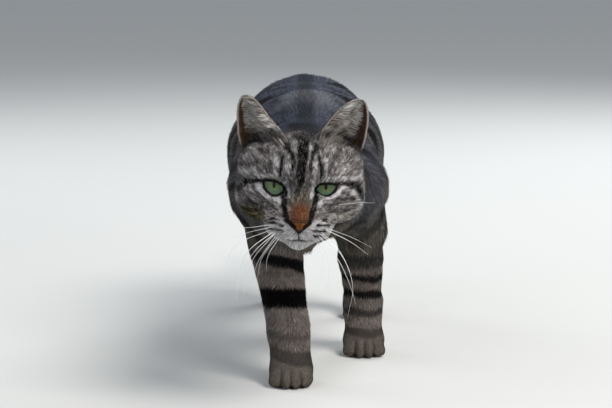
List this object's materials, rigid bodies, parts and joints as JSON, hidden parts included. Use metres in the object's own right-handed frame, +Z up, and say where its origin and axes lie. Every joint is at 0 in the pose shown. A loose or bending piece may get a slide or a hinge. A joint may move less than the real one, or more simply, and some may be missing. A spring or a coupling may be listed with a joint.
{
  "type": "cat",
  "caption": "Short-haired tabby cat walking slowly towards the viewer with its head held low, as a still life-size model.",
  "frame": {"origin": "on the floor, under the middle of the cat's box", "axes": "+Z up, the cat faces -Y and its left side is towards +X"},
  "size_m": [0.1452, 0.677, 0.2394],
  "materials": {
    "coat_face": "short dense tabby fur, salt and pepper with black lines",
    "coat_body": "short dense blue-grey tabby fur with dark bands",
    "coat_legs": "short fur, pale grey-brown with black bands",
    "coat_pale": "short white to cream fur, and white whiskers",
    "nose_leather": "brick red, finely pebbled, slightly moist, with a dark rim",
    "eye": "green iris with a narrow upright pupil under a clear wet cornea"
  },
  "bodies": {
    "root": {"eye_left": "eye", "eye_right": "eye", "nose": "nose_leather", "ear_left": "coat_face", "ear_right": "coat_face", "jaw": "coat_pale", "head": "coat_face", "neck": "coat_body", "paw_front_right": "coat_legs", "forearm_front_right": "coat_legs", "upper_arm_front_right": "coat_body", "paw_front_left": "coat_legs", "forearm_front_left": "coat_legs", "upper_arm_front_left": "coat_body", "paw_hind_right": "coat_legs", "hock_hind_right": "coat_legs", "shank_hind_right": "coat_legs", "thigh_hind_right": "coat_body", "paw_hind_left": "coat_legs", "hock_hind_left": "coat_legs", "shank_hind_left": "coat_legs", "thigh_hind_left": "coat_body", "tail_tip": "coat_body", "tail_middle": "coat_body", "tail_base": "coat_body", "chest": "coat_body", "belly": "coat_body", "rump": "coat_body"}
  },
  "joints": []
}
